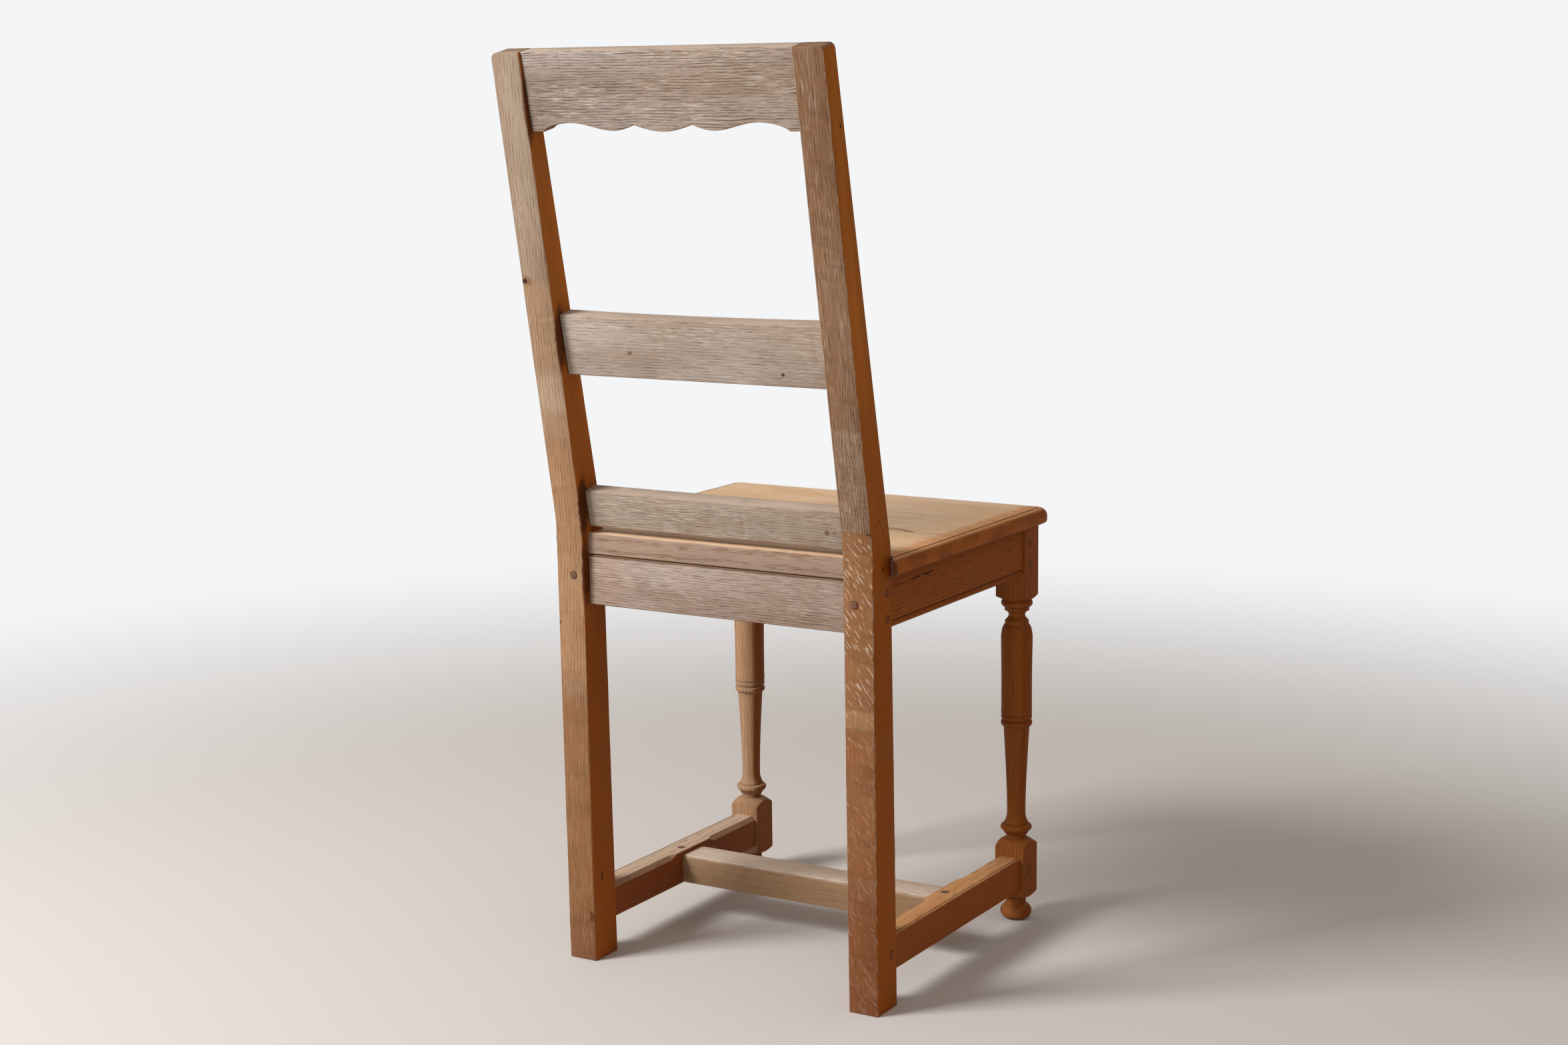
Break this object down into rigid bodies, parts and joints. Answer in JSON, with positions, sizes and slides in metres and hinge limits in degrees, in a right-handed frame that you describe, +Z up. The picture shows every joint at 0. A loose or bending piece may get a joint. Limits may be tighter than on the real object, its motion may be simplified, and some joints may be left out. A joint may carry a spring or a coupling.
{
  "type": "oak dining chair",
  "caption": "Rustic oak dining chair with a raked ladder back, scalloped crest rail, moulded board seat, turned front legs and an H stretcher, stripped and worn.",
  "frame": {"origin": "on the floor, under the middle of the whole chair's bounding box", "axes": "+Z up, the chair faces -Y with its back at +Y, and the sitter's left is +X"},
  "size_m": [0.402, 0.4596, 0.95],
  "materials": {
    "rear_legs": "bare sanded oak, pale residue in the pores, worn soft edges",
    "back_rails": "bare sanded oak, greyish, pale residue in the pores",
    "seat": "bare sanded oak, honey brown, worn",
    "front_legs": "bare sanded oak, warm brown, turned",
    "aprons": "bare sanded oak, with shakes and knots",
    "stretchers": "bare sanded oak, worn",
    "pegs": "oak end grain, rough"
  },
  "bodies": {
    "root": {"rear_leg_left": "rear_legs", "rear_leg_right": "rear_legs", "front_leg_left": "front_legs", "front_leg_right": "front_legs", "crest_rail": "back_rails", "middle_rail": "back_rails", "lower_rail": "back_rails", "seat_board": "seat", "rear_apron": "aprons", "front_apron": "aprons", "side_apron_left": "aprons", "side_apron_right": "aprons", "side_stretcher_left": "stretchers", "side_stretcher_right": "stretchers", "cross_stretcher": "stretchers", "rear_apron_pegs": "pegs", "front_apron_pegs": "pegs", "side_apron_rear_pegs": "pegs", "side_apron_front_pegs": "pegs", "stretcher_rear_pegs": "pegs", "stretcher_front_pegs": "pegs", "cross_stretcher_pegs": "pegs"}
  },
  "joints": []
}
